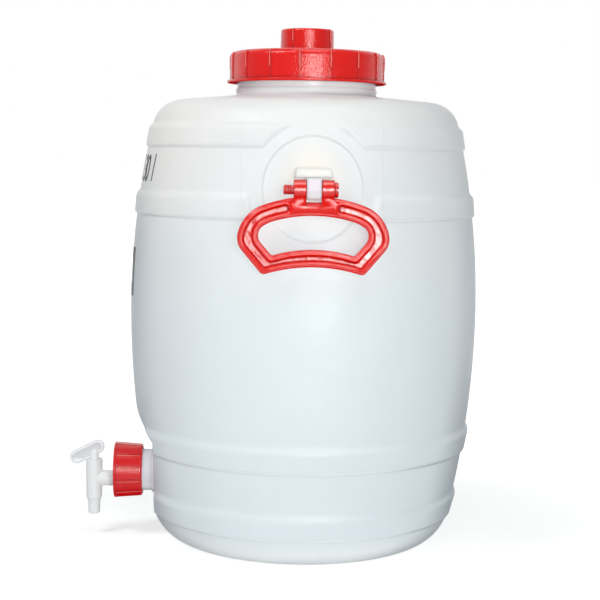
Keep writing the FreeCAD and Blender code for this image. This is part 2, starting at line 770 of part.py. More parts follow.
def tap_plug():
    body = turned(
        [
            (0, PLUG_BOTTOM),
            (PLUG_BOTTOM_RADIUS, PLUG_BOTTOM),
            (PLUG_TOP_RADIUS, BARREL_TOP),
            (PLUG_COLLAR_RADIUS, BARREL_TOP),
            (PLUG_COLLAR_RADIUS, BARREL_TOP + PLUG_COLLAR_HEIGHT - PLUG_CLEARANCE),
            (PLUG_COLLAR_RADIUS - PLUG_COLLAR_HEIGHT / 2, BARREL_TOP + PLUG_COLLAR_HEIGHT),
            (PLUG_STEM_RADIUS, BARREL_TOP + PLUG_COLLAR_HEIGHT),
            (PLUG_STEM_RADIUS, BLADE_HEIGHT),
            (0, BLADE_HEIGHT + PLUG_STEM_RADIUS),
        ]
    )
    centre = Vector(0, 0, BOSS_HEIGHT - TAP_DROP)
    inlet = Part.makeCylinder(OUTLET_RADIUS, 2 * PLUG_TOP_RADIUS, centre, ALONG_PIN)
    port_bottom = Vector(0, 0, PLUG_BOTTOM)
    outlet = Part.makeCylinder(OUTLET_RADIUS, centre.z - PLUG_BOTTOM, port_bottom)
    ball = Part.makeSphere(OUTLET_RADIUS, centre)
    solid = body.fuse(lever_blade()).cut([inlet, outlet, ball])
    return on_tap_axis(solid)


# Handles: outlines are drawn in the XZ plane with the pin at the origin
def below(point):
    return (point[0], -point[1])


def tangent_arc(start, heading, end):
    """An arc that leaves the start along the heading and reaches the end, and its last heading."""
    chord = direction_to(start, end)
    turn = 2 * (chord - heading)
    half = math.hypot(end[0] - start[0], end[1] - start[1]) / 2
    radius = half / math.sin(abs(chord - heading))
    middle = ((start[0] + end[0]) / 2, (start[1] + end[1]) / 2)
    bulge = radius * (1 - math.cos(turn / 2))
    side = chord + (math.pi / 2 if turn < 0 else -math.pi / 2)
    top = on_circle(middle, bulge, side)
    arc = Part.Arc(in_section(start), in_section(top), in_section(end)).toShape()
    return arc, heading + turn


def half_outline(top_depth, sides, corner, bottom_depth):
    """The right half of a handle outline: arcs from the top centre to the corner and the bottom."""
    point = (0, -top_depth)
    heading = 0.0
    edges = []
    for side in sides:
        arc, heading = tangent_arc(point, heading, below(side))
        edges.append(arc)
        point = below(side)
    edges.append(section_line(point, below(corner)))
    bottom = (0, -bottom_depth)
    arc, heading = tangent_arc(bottom, 0.0, below(corner))
    edges.append(arc)
    return edges


def handle_outline(top_depth, sides, corner, bottom_depth):
    right = half_outline(top_depth, sides, corner, bottom_depth)
    left = [edge.mirror(ORIGIN, ALONG_PIN) for edge in right]
    return Part.Wire(Part.__sortEdges__(right + left))


def outer_outline():
    sides = (HANDLE_SHOULDER, HANDLE_SIDE, HANDLE_HIP)
    return handle_outline(HANDLE_TOP_DEPTH, sides, HANDLE_CORNER, HANDLE_BOTTOM_DEPTH)


def grip_outline():
    sides = (GRIP_SHOULDER, GRIP_BEND, GRIP_SIDE, GRIP_HIP)
    return handle_outline(GRIP_TOP_DEPTH, sides, GRIP_CORNER, GRIP_BOTTOM_DEPTH)


def rounded_plate(outline, thickness, corner, corner_fillet):
    """A plate of this outline with its two lower corners rounded in plan."""
    solid = plate(Part.Face(outline), thickness)
    return round_edges(
        solid,
        corner_fillet,
        lambda e: e.BoundBox.YLength > thickness / 2
        and abs(e.BoundBox.ZMin + corner[1]) < 0.01,
    )


def flat_rim(edge, thickness):
    """True for an edge that lies in the front or the back face of a plate."""
    box = edge.BoundBox
    return box.YLength < 0.01 and abs(abs(box.YMin) - thickness / 2) < 0.01


def arch_depth(top_depth, shoulder, across):
    """Depth below the pin of the arch that leads from the top centre to this shoulder."""
    drop = shoulder[1] - top_depth
    radius = (shoulder[0] ** 2 + drop**2) / (2 * drop)
    return top_depth + radius - math.sqrt(radius**2 - across**2)


def channel_end():
    """The cone that rounds off the end of the groove."""
    upper = arch_depth(HANDLE_TOP_DEPTH, HANDLE_SHOULDER, CHANNEL_END)
    lower = arch_depth(GRIP_TOP_DEPTH, GRIP_SHOULDER, CHANNEL_END)
    radius = (lower - upper) / 2 - CHANNEL_INSET
    start = Vector(CHANNEL_END, -HANDLE_THICKNESS / 2, -(upper + lower) / 2)
    floor_radius = radius - CHANNEL_WALL_RUN
    return Part.makeCone(radius, floor_radius, CHANNEL_DEPTH, start, Vector(0, 1, 0))


def channel():
    """The sloping-walled groove in the handle's outer face, left out under the ears."""
    front = -HANDLE_THICKNESS / 2
    solids = []
    levels = (
        (CHANNEL_INSET, front),
        (CHANNEL_INSET + CHANNEL_WALL_RUN, front + CHANNEL_DEPTH),
    )
    for outline, sense in ((outer_outline(), -1), (grip_outline(), 1)):
        wires = []
        for inset, depth in levels:
            wire = outline.makeOffset2D(sense * inset)
            wire.translate(Vector(0, depth, 0))
            wires.append(wire)
        solids.append(Part.makeLoft(wires, True, True))
    gap = Part.makeBox(
        2 * CHANNEL_END,
        2 * HANDLE_THICKNESS,
        GRIP_BOTTOM_DEPTH,
        Vector(-CHANNEL_END, -HANDLE_THICKNESS, -(GRIP_TOP_DEPTH + GRIP_BOTTOM_DEPTH) / 2),
    )
    end = channel_end()
    groove = solids[0].cut([solids[1], gap])
    return groove.fuse([end, end.mirror(ORIGIN, ALONG_PIN)])


def ear_gap(half_width):
    """The space for the lug between the ears, with a sloping front lip that clears the lug at full swing."""
    gap = Part.makeBox(
        2 * half_width,
        4 * EAR_KNUCKLE_RADIUS,
        2 * EAR_KNUCKLE_RADIUS + EAR_GAP_DEPTH,
        Vector(-half_width, -2 * EAR_KNUCKLE_RADIUS, -EAR_GAP_DEPTH),
    )
    front = -HANDLE_THICKNESS / 2
    corners = [
        Vector(-half_width, front, -EAR_GAP_DEPTH),
        Vector(-half_width, front, -EAR_GAP_DEPTH - EAR_GAP_LIP_DEPTH),
        Vector(-half_width, front + EAR_GAP_LIP_RUN, -EAR_GAP_DEPTH),
    ]
    lip = Part.Face(Part.makePolygon(corners + corners[:1])).extrude(Vector(2 * half_width, 0, 0))
    return gap.fuse(lip)


def handle_front():
    blank = rounded_plate(outer_outline(), HANDLE_THICKNESS, HANDLE_CORNER, HANDLE_CORNER_FILLET)
    grip = rounded_plate(grip_outline(), HANDLE_THICKNESS, GRIP_CORNER, GRIP_CORNER_FILLET)
    bar = blank.cut(grip)
    bar = round_edges(bar, HANDLE_EDGE_FILLET, lambda e: flat_rim(e, HANDLE_THICKNESS))
    stem_half = LUG_STEM_WIDTH / 2 + EAR_GAP_CLEARANCE
    knuckle = Part.makeCylinder(
        EAR_KNUCKLE_RADIUS, 2 * EAR_OUTER, Vector(-EAR_OUTER, 0, 0), ALONG_PIN
    )
    web_height = GRIP_TOP_DEPTH - EAR_KNUCKLE_RADIUS
    web = Part.makeBox(
        2 * EAR_OUTER,
        HANDLE_THICKNESS,
        web_height,
        Vector(-EAR_OUTER, -HANDLE_THICKNESS / 2, -web_height),
    )
    hole = Part.makeCylinder(
        SCREW_RADIUS + EAR_HOLE_CLEARANCE, 4 * EAR_OUTER, Vector(-2 * EAR_OUTER, 0, 0), ALONG_PIN
    )
    solid = bar.multiFuse([knuckle, web]).cut([ear_gap(stem_half), hole, channel()])
    return at_pin(solid)


def at_pin(shape):
    shape.translate(Vector(0, -PIN_DISTANCE, PIN_HEIGHT))
    return shape


def hinge_screw_front():
    tip = -EAR_OUTER - SCREW_TIP_LENGTH
    length = EAR_OUTER - tip
    shank = Part.makeCylinder(SCREW_RADIUS, length, Vector(tip, 0, 0), ALONG_PIN)
    shank = shank.makeChamfer(
        SCREW_CHAMFER, [e for e in shank.Edges if e.BoundBox.XMax < tip + 0.01]
    )
    head = Part.makeCylinder(
        SCREW_HEAD_RADIUS, SCREW_HEAD_LENGTH, Vector(EAR_OUTER, 0, 0), ALONG_PIN
    )
    head_end = EAR_OUTER + SCREW_HEAD_LENGTH
    head = round_edges(head, SCREW_CHAMFER, lambda e: e.BoundBox.XMin > head_end - 0.01)
    slot = Part.makeBox(
        SCREW_SLOT_DEPTH,
        2 * SCREW_HEAD_RADIUS,
        SCREW_SLOT_WIDTH,
        Vector(head_end - SCREW_SLOT_DEPTH, -SCREW_HEAD_RADIUS, -SCREW_SLOT_WIDTH / 2),
    )
    return at_pin(shank.fuse(head).cut(slot))


def behind(shape):
    """The same piece on the far side of the drum, turned half round so that it stays right-handed."""
    turned_shape = shape.copy()
    turned_shape.rotate(ORIGIN, UP, 180)
    return turned_shape


def write(name, shape):
    shape.exportStep(os.path.join("parts", name + ".step"))


def main():
    os.makedirs("parts", exist_ok=True)
    handle = handle_front()
    screw = hinge_screw_front()
    pieces = {
        "drum_body": drum_body(),
        "lid": lid(),
        "lid_seal": lid_seal(),
        "vent_cap": vent_cap(),
        "vent_cap_seal": vent_cap_seal(),
        "tap_nut": tap_nut(),
        "tap_seal": tap_seal(),
        "tap_body": tap_body(),
        "tap_plug": tap_plug(),
        "handle_front": handle,
        "hinge_screw_front": screw,
        "handle_back": behind(handle),
        "hinge_screw_back": behind(screw),
    }
    for name, shape in pieces.items():
        print(name, shape.isValid(), len(shape.Solids), round(shape.Volume / 1000, 2), "cm3")
        write(name, shape)


main()
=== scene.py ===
"""Looks of a blow-moulded drum with a screw lid, a vent cap, two carry handles and a plug tap."""

import json
import math

import bpy
from mathutils import Matrix, Vector


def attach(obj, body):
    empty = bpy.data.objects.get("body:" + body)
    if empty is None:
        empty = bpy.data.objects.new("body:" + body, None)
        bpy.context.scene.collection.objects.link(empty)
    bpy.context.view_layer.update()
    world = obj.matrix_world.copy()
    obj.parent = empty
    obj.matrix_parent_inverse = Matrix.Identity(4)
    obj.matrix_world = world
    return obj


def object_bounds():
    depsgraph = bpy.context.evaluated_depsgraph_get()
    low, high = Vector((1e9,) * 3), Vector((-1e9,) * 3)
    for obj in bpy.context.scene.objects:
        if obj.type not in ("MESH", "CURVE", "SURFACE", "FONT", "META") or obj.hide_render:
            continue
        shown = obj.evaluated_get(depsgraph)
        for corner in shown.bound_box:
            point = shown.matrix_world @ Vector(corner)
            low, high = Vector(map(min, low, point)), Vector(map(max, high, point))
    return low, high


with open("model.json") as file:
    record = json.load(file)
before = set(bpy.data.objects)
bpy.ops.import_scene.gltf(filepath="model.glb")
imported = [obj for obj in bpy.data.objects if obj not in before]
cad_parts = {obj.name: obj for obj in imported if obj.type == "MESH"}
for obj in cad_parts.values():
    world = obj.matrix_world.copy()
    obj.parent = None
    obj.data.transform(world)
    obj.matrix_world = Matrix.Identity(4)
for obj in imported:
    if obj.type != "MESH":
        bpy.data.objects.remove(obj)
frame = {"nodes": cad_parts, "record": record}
nodes_by_name = frame["nodes"]
cad_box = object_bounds()

MM = 0.001

# Camera: place and lens as they fit the hoops of the drum in the photograph
CAMERA_DISTANCE = 1454 * MM
CAMERA_HEIGHT = 370 * MM
CAMERA_SIDE = -3.3 * MM
CAMERA_AZIMUTH = math.radians(-2.4)
CAMERA_PITCH = math.radians(5.44)
CAMERA_ROLL = math.radians(0.85)
CAMERA_LENS = 90.4

# Threads: root and crest radius, half widths at root and crest, lead, turns and start height, in mm
NECK_THREAD = (66.1, 69.8, 2.4, 0.9, 10.0, 1.4, 445.5)
LID_THREAD = (70.7, 67.0, 2.4, 0.9, 10.0, 1.4, 447.0)
SPOUT_THREAD = (19.9, 22.3, 1.3, 0.5, 5.0, 2.4, 472.0)
CAP_THREAD = (23.2, 20.8, 1.3, 0.5, 5.0, 2.0, 474.5)
BOSS_THREAD = (19.9, 20.55, 1.2, 0.5, 5.0, 3.2, 154.5)
NUT_THREAD = (20.9, 20.25, 1.2, 0.5, 5.0, 3.0, 157.0)
TIP_THREAD = (3.8, 4.35, 0.62, 0.2, 1.9, 3.6, 18.6)
BOSS_HEIGHT = 64.0
PIN_HEIGHT = 342.0
PIN_DISTANCE = 171.8
STEPS_PER_TURN = 48
RUN_OUT_STEPS = 5

# Lines that the mould leaves on the drum, in mm
SEAM_RADIUS = 0.32
SEAM_BOTTOM = 30.0
SEAM_TOP = 440.0
BOSS_CLEAR = (40.0, 88.0)
INSERT_HALF_WIDTH = 61.5
INSERT_RADIUS = 0.14
INSERT_BOTTOM = 322.0
INSERT_TOP = 402.0
SKIN_DEPTH = 1.4

# Ejector marks in the handle grooves: half spacing, depth below the pin, radius, groove floor
EJECTOR_SIDE = 24.4
EJECTOR_DROP = 17.1
EJECTOR_RADIUS = 1.9
EJECTOR_BEAD = 0.16
GROOVE_FLOOR = PIN_DISTANCE + 2.0

# Crown on the flat rims of the handles: their height, the flank and the rise
RIM_TOP = PIN_DISTANCE + 5.5
CROWN_FLANK = 0.45
CROWN_RISE = 0.35

# Print on the tap side: y is towards the camera, all in mm
PRINT_STANDOFF = 190.0
PRINT_LIFT = 0.12
NUMERAL_HEIGHT = 25.0
NUMERAL_BASE = 345.5
NUMERAL_START = -27.0
NUMERAL_WEIGHT = 0.5
BAR_PLACE = -59.0
BAR_WIDTH = 2.4
UPPER_FIELD = (-18.0, 66.0, 345.5, 370.5)
LOWER_FIELD = (-37.0, 37.0, 237.0, 283.0)
UPPER_LINE = 4.5
LOWER_LINE = 12.0
LETTER_HEIGHT_SHARE = 0.72
NUMERAL_NARROWING = 0.72
NUMERAL_SPACING = 0.82

# Where painted light changes the drum's colour: low, high and the soft width outside them, in mm
NECK_ZONE = (429.5, 470.0, 2.0)
BOSS_ZONE_X = (-180.0, -142.5, 3.0)
BOSS_ZONE_Z = (40.0, 90.0, 6.0)
STEM_ZONE_X = (-6.5, 6.5, 0.5)
STEM_ZONE_Y = (166.0, 200.0, 5.0)
STEM_ZONE_Z = (330.0, 350.0, 3.0)

# The same as a start and an end, in mm, of a soft change
MILK_TOP = 430.0
MILK_MIDDLE = 0.6
LUG_CENTRE = (0.0, 158.0, 354.0)
LUG_GLOW_REACH = (36.0, 8.0)
SHOULDER_RISE = (250.0, 390.0)
LEFT_SIDE = (-55.0, -135.0)
RIGHT_SIDE = (20.0, 120.0)
WEB_SIDE = (1.9, 1.3)
WEB_HEIGHT = (74.6, 75.2)

# Soft changes over the tilt of a surface, or over how far it turns away from the eye
FACING_DOWN = (-0.25, -0.65)
SHINE_TILT = (-0.75, -0.25)
LEFT_LIMB = (0.45, 0.9)
RIGHT_LIMB = (0.45, 0.85)
HIGH_LIMB_LOSS = 0.65
NECK_LIMB_TURN = (0.25, 1.0)
# Painted shade in red creases: how shut in, from none to full, and how far the test looks, in mm
CREASE_DEPTH = (0.95, 0.35)
CREASE_REACH = 3.5

# Colours
LOW_MILK = (0.79, 0.85, 0.905)
MILK = (0.83, 0.88, 0.91)
HIGH_MILK = (0.875, 0.865, 0.87)
CLOUD_MILK = (0.74, 0.8, 0.82)
# Painted light on the neck: paler and faintly pink, with painted shade at its limbs
NECK_PAINTED_LIGHT = (0.985, 0.975, 0.99)
NECK_LIMB_PAINTED_SHADE = (0.62, 0.42, 0.53)
# Painted shade on the drum's limbs; painted light on its shoulder towards the tap and on its undersides
LIMB_PAINTED_SHADE = (0.42, 0.47, 0.52)
SHOULDER_PAINTED_LIGHT = (0.97, 0.955, 0.945)
UNDERSIDE_PAINTED_LIGHT = (0.97, 0.98, 0.99)
# Painted warm light round the lug roots
LUG_PAINTED_WARM_LIGHT = (0.94, 0.88, 0.81)
LID_BOUNCE = (0.55, 0.42, 0.42)
NUT_BOUNCE = (0.5, 0.42, 0.45)
HANDLE_BOUNCE = (0.72, 0.69, 0.69)
# Painted shade for the creases of the red plastics
CREASE_PAINTED_SHADE = (0.3, 0.0, 0.004)
# Painted red light thrown onto the lug stem and the tap boss
STEM_PAINTED_BOUNCE = (0.86, 0.77, 0.85)
BOSS_PAINTED_BOUNCE = (0.85, 0.84, 0.91)
# Painted shade on the recessed web of the lever blade
WEB_PAINTED_SHADE = (0.74, 0.73, 0.77)

# Glow that makes the floor white to the eye: beside the drum, and far from it
FLOOR_GLOW = 0.48
FLOOR_GLOW_FAR = 1.0


def deselect_all():
    if bpy.context.mode != "OBJECT":
        bpy.ops.object.mode_set(mode="OBJECT")
    bpy.ops.object.select_all(action="DESELECT")


def take(piece):
    """Select this piece alone and make it the active one."""
    deselect_all()
    piece.select_set(True)
    bpy.context.view_layer.objects.active = piece


def settle(piece):
    """Put the piece's place, turn and scale into its mesh."""
    take(piece)
    bpy.ops.object.transform_apply(location=True, rotation=True, scale=True)


def pick(piece, test):
    """Select the vertices whose place passes the test, and go to edit mode."""
    take(piece)
    bpy.ops.object.mode_set(mode="EDIT")
    bpy.ops.mesh.select_mode(type="VERT")
    bpy.ops.mesh.select_all(action="DESELECT")
    bpy.ops.object.mode_set(mode="OBJECT")
    for vertex in piece.data.vertices:
        vertex.select = test(vertex)
    bpy.ops.object.mode_set(mode="EDIT")


def apply_modifier(piece, kind, **values):
    take(piece)
    modifier = piece.modifiers.new(kind.lower(), kind)
    for name, value in values.items():
        setattr(modifier, name, value)
    bpy.ops.object.modifier_apply(modifier=modifier.name)


def face_outwards(piece):
    take(piece)
    bpy.ops.object.mode_set(mode="EDIT")
    bpy.ops.mesh.select_all(action="SELECT")
    bpy.ops.mesh.normals_make_consistent(inside=False)
    bpy.ops.object.mode_set(mode="OBJECT")


def finish_piece(piece, name, material, body):
    piece.name = name
    piece.data.materials.clear()
    piece.data.materials.append(material)
    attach(piece, body)


# Shader groups
def socket(node, name, value):
    node.inputs[name].default_value = value


def new_group(name, inputs, outputs):
    """A shader node group with named inputs and outputs, and its input and output nodes."""
    group = bpy.data.node_groups.new(name, "ShaderNodeTree")
    for label, kind, value in inputs:
        item = group.interface.new_socket(name=label, in_out="INPUT", socket_type=kind)
        if value is not None:
            item.default_value = value
    for label, kind in outputs:
        group.interface.new_socket(name=label, in_out="OUTPUT", socket_type=kind)
    entry = group.nodes.new("NodeGroupInput")
    leave = group.nodes.new("NodeGroupOutput")
    return group, entry, leave


def arithmetic(tree, operation, first, second=0.0):
    """A Math node whose two values are sockets or plain numbers."""
    node = tree.nodes.new("ShaderNodeMath")
    node.operation = operation
    for index, value in enumerate((first, second)):
        if isinstance(value, (int, float)):
            node.inputs[index].default_value = value
        else:
            tree.links.new(value, node.inputs[index])
    return node.outputs[0]


def product(tree, value, *others):
    for other in others:
        value = arithmetic(tree, "MULTIPLY", value, other)
    return value


def inverse(tree, value):
    return arithmetic(tree, "SUBTRACT", 1.0, value)


def axes_of(tree, vector):
    """The X, Y and Z sockets of a vector."""
    apart = tree.nodes.new("ShaderNodeSeparateXYZ")
    tree.links.new(vector, apart.inputs["Vector"])
    return apart.outputs["X"], apart.outputs["Y"], apart.outputs["Z"]


def object_place(tree):
    return tree.nodes.new("ShaderNodeTexCoord").outputs["Object"]


def surface_normal(tree):
    return tree.nodes.new("ShaderNodeNewGeometry").outputs["Normal"]


def moulded_skin_group():
    """Height of a moulded skin: a fine grain, long soft waves and streaks along the flow."""
    group, entry, leave = new_group(
        "moulded skin",
        [
            ("Place", "NodeSocketVector", None),
            ("Grain Scale", "NodeSocketFloat", 600.0),
            ("Grain Height", "NodeSocketFloat", 0.2),
            ("Wave Scale", "NodeSocketFloat", 30.0),
            ("Wave Height", "NodeSocketFloat", 1.0),
            ("Streak Scale", "NodeSocketVector", (90.0, 90.0, 3.0)),
            ("Streak Height", "NodeSocketFloat", 0.0),
        ],
        [("Height", "NodeSocketFloat")],
    )
    nodes, links = group.nodes, group.links
    total = 0.0
    for kind in ("Grain", "Wave"):
        noise = nodes.new("ShaderNodeTexNoise")
        socket(noise, "Detail", 2.0)
        links.new(entry.outputs["Place"], noise.inputs["Vector"])
        links.new(entry.outputs[kind + " Scale"], noise.inputs["Scale"])
        height = arithmetic(group, "MULTIPLY", noise.outputs["Fac"], entry.outputs[kind + " Height"])
        total = arithmetic(group, "ADD", total, height)
    stretch = nodes.new("ShaderNodeVectorMath")
    stretch.operation = "MULTIPLY"
    links.new(entry.outputs["Place"], stretch.inputs[0])
    links.new(entry.outputs["Streak Scale"], stretch.inputs[1])
    streak = nodes.new("ShaderNodeTexNoise")
    socket(streak, "Scale", 1.0)
    links.new(stretch.outputs["Vector"], streak.inputs["Vector"])
    height = arithmetic(group, "MULTIPLY", streak.outputs["Fac"], entry.outputs["Streak Height"])
    total = arithmetic(group, "ADD", total, height)
    links.new(total, leave.inputs["Height"])
    return group


def handled_group():
    """Roughness of a handled surface: clean at its base value, duller in soft patches."""
    group, entry, leave = new_group(
        "handled surface",
        [
            ("Place", "NodeSocketVector", None),
            ("Clean", "NodeSocketFloat", 0.3),
            ("Dull", "NodeSocketFloat", 0.45),
            ("Scale", "NodeSocketFloat", 12.0),
        ],
        [("Roughness", "NodeSocketFloat")],
    )
    nodes, links = group.nodes, group.links
    noise = nodes.new("ShaderNodeTexNoise")
    socket(noise, "Detail", 6.0)
    socket(noise, "Roughness", 0.65)
    links.new(entry.outputs["Place"], noise.inputs["Vector"])
    links.new(entry.outputs["Scale"], noise.inputs["Scale"])
    spread = nodes.new("ShaderNodeMapRange")
    socket(spread, "From Min", 0.35)
    socket(spread, "From Max", 0.7)
    links.new(noise.outputs["Fac"], spread.inputs["Value"])
    links.new(entry.outputs["Clean"], spread.inputs["To Min"])
    links.new(entry.outputs["Dull"], spread.inputs["To Max"])
    links.new(spread.outputs["Result"], leave.inputs["Roughness"])
    return group


SKIN = moulded_skin_group()
HANDLED = handled_group()


def place_group(tree, group, place, values):
    node = tree.nodes.new("ShaderNodeGroup")
    node.node_tree = group
    tree.links.new(place, node.inputs["Place"])
    for name, value in values.items():
        socket(node, name, value)
    return node


def crown(tree, normal, amount):
    """Push the softened normal further from the true one: rims look rounder, gutters more hollow."""
    apart = tree.nodes.new("ShaderNodeVectorMath")
    apart.operation = "SUBTRACT"
    tree.links.new(normal, apart.inputs[0])
    tree.links.new(surface_normal(tree), apart.inputs[1])
    more = tree.nodes.new("ShaderNodeVectorMath")
    more.operation = "SCALE"
    tree.links.new(apart.outputs["Vector"], more.inputs[0])
    socket(more, "Scale", amount)
    total = tree.nodes.new("ShaderNodeVectorMath")
    tree.links.new(normal, total.inputs[0])
    tree.links.new(more.outputs["Vector"], total.inputs[1])
    whole = tree.nodes.new("ShaderNodeVectorMath")
    whole.operation = "NORMALIZE"
    tree.links.new(total.outputs["Vector"], whole.inputs[0])
    return whole.outputs["Vector"]


def light_shadow(tree, share):
    """Let part of the lamps' light through, as thin translucent plastic does."""
    path = tree.nodes.new("ShaderNodeLightPath")
    alpha = inverse(tree, product(tree, path.outputs["Is Shadow Ray"], share))
    tree.links.new(alpha, tree.nodes["Principled BSDF"].inputs["Alpha"])


def plastic(name, colour, shine, edge, skin, relief, roundness=0.0, let_through=0.0):
    """A moulded plastic with softened edges, a skin and handled patches."""
    material = bpy.data.materials.new(name)
    material.use_nodes = True
    tree = material.node_tree
    shader = tree.nodes["Principled BSDF"]
    socket(shader, "Base Color", (*colour, 1.0))
    place = object_place(tree)
    soft_edge = tree.nodes.new("ShaderNodeBevel")
    soft_edge.samples = 6
    socket(soft_edge, "Radius", edge)
    normal = soft_edge.outputs["Normal"]
    if roundness:
        normal = crown(tree, normal, roundness)
    if let_through:
        light_shadow(tree, let_through)
    surface = place_group(tree, SKIN, place, skin)
    bump = tree.nodes.new("ShaderNodeBump")
    socket(bump, "Strength", relief[0])
    socket(bump, "Distance", relief[1])
    tree.links.new(surface.outputs["Height"], bump.inputs["Height"])
    tree.links.new(normal, bump.inputs["Normal"])
    tree.links.new(bump.outputs["Normal"], shader.inputs["Normal"])
    handled = place_group(tree, HANDLED, place, shine)
    tree.links.new(handled.outputs["Roughness"], shader.inputs["Roughness"])
    return material


def eased(tree, value, low, high):
    """A value mapped smoothly from nought at low to one at high."""
    step = tree.nodes.new("ShaderNodeMapRange")
    step.interpolation_type = "SMOOTHSTEP"
    socket(step, "From Min", low)
    socket(step, "From Max", high)
    tree.links.new(value, step.inputs["Value"])
    return step.outputs["Result"]


def eased_mm(tree, value, span):
    """The same for a length, with its span in mm."""
    return eased(tree, value, span[0] * MM, span[1] * MM)


def band(tree, value, zone):
    """A mask that is one between two values in mm and fades over the soft width outside them."""
    low, high, soft = zone
    return product(tree, eased_mm(tree, value, (low - soft, low)), eased_mm(tree, value, (high + soft, high)))


def tint(tree, colour, mask, strength, shade):
    """Mix a colour socket towards a shade where the mask is."""
    mix = tree.nodes.new("ShaderNodeMix")
    mix.data_type = "RGBA"
    tree.links.new(product(tree, mask, strength), mix.inputs["Factor"])
    tree.links.new(colour, mix.inputs["A"])
    mix.inputs["B"].default_value = (*shade, 1.0)
    return mix.outputs["Result"]


def red_light(material, shade, shine):
    """Red plastic: painted shade darkens its creases, a paler light is thrown on its neighbours, and faces
    that look down take no shine.
    """
    tree = material.node_tree
    shader = tree.nodes["Principled BSDF"]
    red = tree.nodes.new("ShaderNodeRGB")
    red.outputs[0].default_value = shader.inputs["Base Color"].default_value
    path = tree.nodes.new("ShaderNodeLightPath")
    corner = tree.nodes.new("ShaderNodeAmbientOcclusion")
    corner.samples = 4
    socket(corner, "Distance", CREASE_REACH * MM)
    crease = eased(tree, corner.outputs["AO"], *CREASE_DEPTH)
    # Painted shade: the red darkens where the surface is shut in, in creases and corners.
    colour = tint(tree, red.outputs[0], crease, 0.85, CREASE_PAINTED_SHADE)
    colour = tint(tree, colour, path.outputs["Is Diffuse Ray"], 0.75, shade)
    tree.links.new(colour, shader.inputs["Base Color"])
    level = eased(tree, axes_of(tree, surface_normal(tree))[2], *SHINE_TILT)
    tree.links.new(product(tree, level, shine), shader.inputs["Specular IOR Level"])


def milk(tree, place, z):
    """The milky ground: cool near the base, warm near the neck, faintly clouded."""
    height = tree.nodes.new("ShaderNodeMapRange")
    socket(height, "From Max", MILK_TOP * MM)
    tree.links.new(z, height.inputs["Value"])
    ramp = tree.nodes.new("ShaderNodeValToRGB")
    ramp.color_ramp.elements[0].color = (*LOW_MILK, 1.0)
    ramp.color_ramp.elements[1].color = (*HIGH_MILK, 1.0)
    middle = ramp.color_ramp.elements.new(MILK_MIDDLE)
    middle.color = (*MILK, 1.0)
    tree.links.new(height.outputs["Result"], ramp.inputs["Fac"])
    cloud = tree.nodes.new("ShaderNodeTexNoise")
    socket(cloud, "Scale", 9.0)
    socket(cloud, "Detail", 3.0)
    tree.links.new(place, cloud.inputs["Vector"])
    return tint(tree, ramp.outputs["Color"], cloud.outputs["Fac"], 0.10, CLOUD_MILK)


def lug_warm_light_mask(tree, x, out, z):
    """A mask around the thick root of each handle lug, where warm light is painted."""
    folded = tree.nodes.new("ShaderNodeCombineXYZ")
    for axis, value in (("X", x), ("Y", out), ("Z", z)):
        tree.links.new(value, folded.inputs[axis])
    reach = tree.nodes.new("ShaderNodeVectorMath")
    reach.operation = "DISTANCE"
    tree.links.new(folded.outputs["Vector"], reach.inputs[0])
    reach.inputs[1].default_value = [length * MM for length in LUG_CENTRE]
    return eased_mm(tree, reach.outputs["Value"], LUG_GLOW_REACH)


def shade_sides(tree, colour, x, z, facing):
    """Painted light and shade: the shoulder painted paler towards the tap, undersides painted paler, and both
    limbs painted darker.
    """
    high = eased_mm(tree, z, SHOULDER_RISE)
    left = eased_mm(tree, x, LEFT_SIDE)
    right = eased_mm(tree, x, RIGHT_SIDE)
    colour = tint(tree, colour, product(tree, high, left), 1.0, SHOULDER_PAINTED_LIGHT)
    facing_down = eased(tree, axes_of(tree, surface_normal(tree))[2], *FACING_DOWN)
    colour = tint(tree, colour, facing_down, 0.7, UNDERSIDE_PAINTED_LIGHT)
    left_limb = product(tree, eased(tree, facing, *LEFT_LIMB), left, inverse(tree, high))
    low_share = inverse(tree, product(tree, high, HIGH_LIMB_LOSS))
    right_limb = product(tree, eased(tree, facing, *RIGHT_LIMB), right, low_share)
    limb = arithmetic(tree, "MAXIMUM", left_limb, right_limb)
    return tint(tree, colour, limb, 0.75, LIMB_PAINTED_SHADE)


